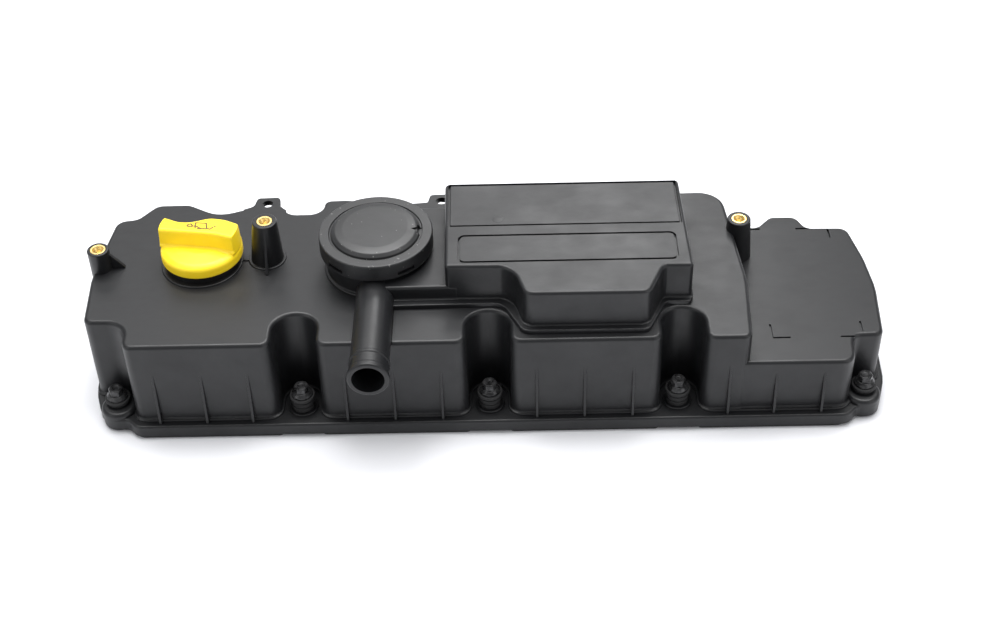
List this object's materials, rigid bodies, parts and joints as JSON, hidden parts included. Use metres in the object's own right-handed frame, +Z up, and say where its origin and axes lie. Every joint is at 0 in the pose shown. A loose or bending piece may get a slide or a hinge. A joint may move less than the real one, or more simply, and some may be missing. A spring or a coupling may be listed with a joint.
{
  "type": "engine cylinder head cover",
  "caption": "Moulded plastic cylinder head cover with oil separator, pressure regulator and hose stub, captive bolts, gasket and a screw-in oil filler cap.",
  "frame": {"origin": "middle of the footprint, on the underside of the gasket, which is the sealing plane of the head", "axes": "+Z up, away from the head. +X runs along the engine from the filler cap toward the lower end. -Y faces the side the hose stub points to, nearest the viewer in the picture"},
  "size_m": [0.4264, 0.1588, 0.085],
  "materials": {
    "black_plastic": "satin moulded",
    "black_rubber": "matte",
    "black_steel": "black coated steel",
    "spring_steel": "bright",
    "brass": "turned",
    "yellow_plastic": "satin moulded"
  },
  "bodies": {
    "cover": {"cover_shell": "black_plastic", "sealing_gasket": "black_rubber", "separator_cover": "black_plastic", "label_plate": "black_plastic", "oil_baffle": "black_plastic", "regulator_cover": "black_plastic", "regulator_diaphragm": "black_rubber", "regulator_spring": "spring_steel", "insert_left": "brass", "insert_middle": "brass", "insert_right": "brass", "bolt_front_1": "black_steel", "bolt_sleeve_front_1": "spring_steel", "bolt_grommet_front_1": "black_rubber", "bolt_front_2": "black_steel", "bolt_sleeve_front_2": "spring_steel", "bolt_grommet_front_2": "black_rubber", "bolt_front_3": "black_steel", "bolt_sleeve_front_3": "spring_steel", "bolt_grommet_front_3": "black_rubber", "bolt_front_4": "black_steel", "bolt_sleeve_front_4": "spring_steel", "bolt_grommet_front_4": "black_rubber", "bolt_front_5": "black_steel", "bolt_sleeve_front_5": "spring_steel", "bolt_grommet_front_5": "black_rubber", "bolt_rear_1": "black_steel", "bolt_sleeve_rear_1": "spring_steel", "bolt_grommet_rear_1": "black_rubber", "bolt_rear_2": "black_steel", "bolt_sleeve_rear_2": "spring_steel", "bolt_grommet_rear_2": "black_rubber", "bolt_rear_3": "black_steel", "bolt_sleeve_rear_3": "spring_steel", "bolt_grommet_rear_3": "black_rubber", "bolt_rear_4": "black_steel", "bolt_sleeve_rear_4": "spring_steel", "bolt_grommet_rear_4": "black_rubber", "bolt_rear_5": "black_steel", "bolt_sleeve_rear_5": "spring_steel", "bolt_grommet_rear_5": "black_rubber"},
    "cap_lift": {"cap_seal": "black_rubber"},
    "cap": {"filler_cap": "yellow_plastic"},
    "valve": {"regulator_plate": "black_plastic"}
  },
  "joints": [
    {"name": "cap_rise", "type": "slide", "parent": "cover", "child": "cap_lift", "axis": [0, 0, 1], "range_m": [0, 0.0152]},
    {"name": "cap_turn", "type": "hinge", "parent": "cap_lift", "child": "cap", "pos_m": [-0.15107, 0.0184, 0.064], "axis": [0, 0, 1], "range_deg": [0, 180]},
    {"name": "valve_stroke", "type": "slide", "parent": "cover", "child": "valve", "axis": [0, 0, 1], "range_m": [-0.0036, 0], "stiffness_N_per_m": 120, "springref_m": 0.004, "deforming": ["regulator_spring"]}
  ],
  "couplings": [
    {"joint": "cap_rise", "follows": "cap_turn", "m_per_rad": 0.0047746}
  ]
}
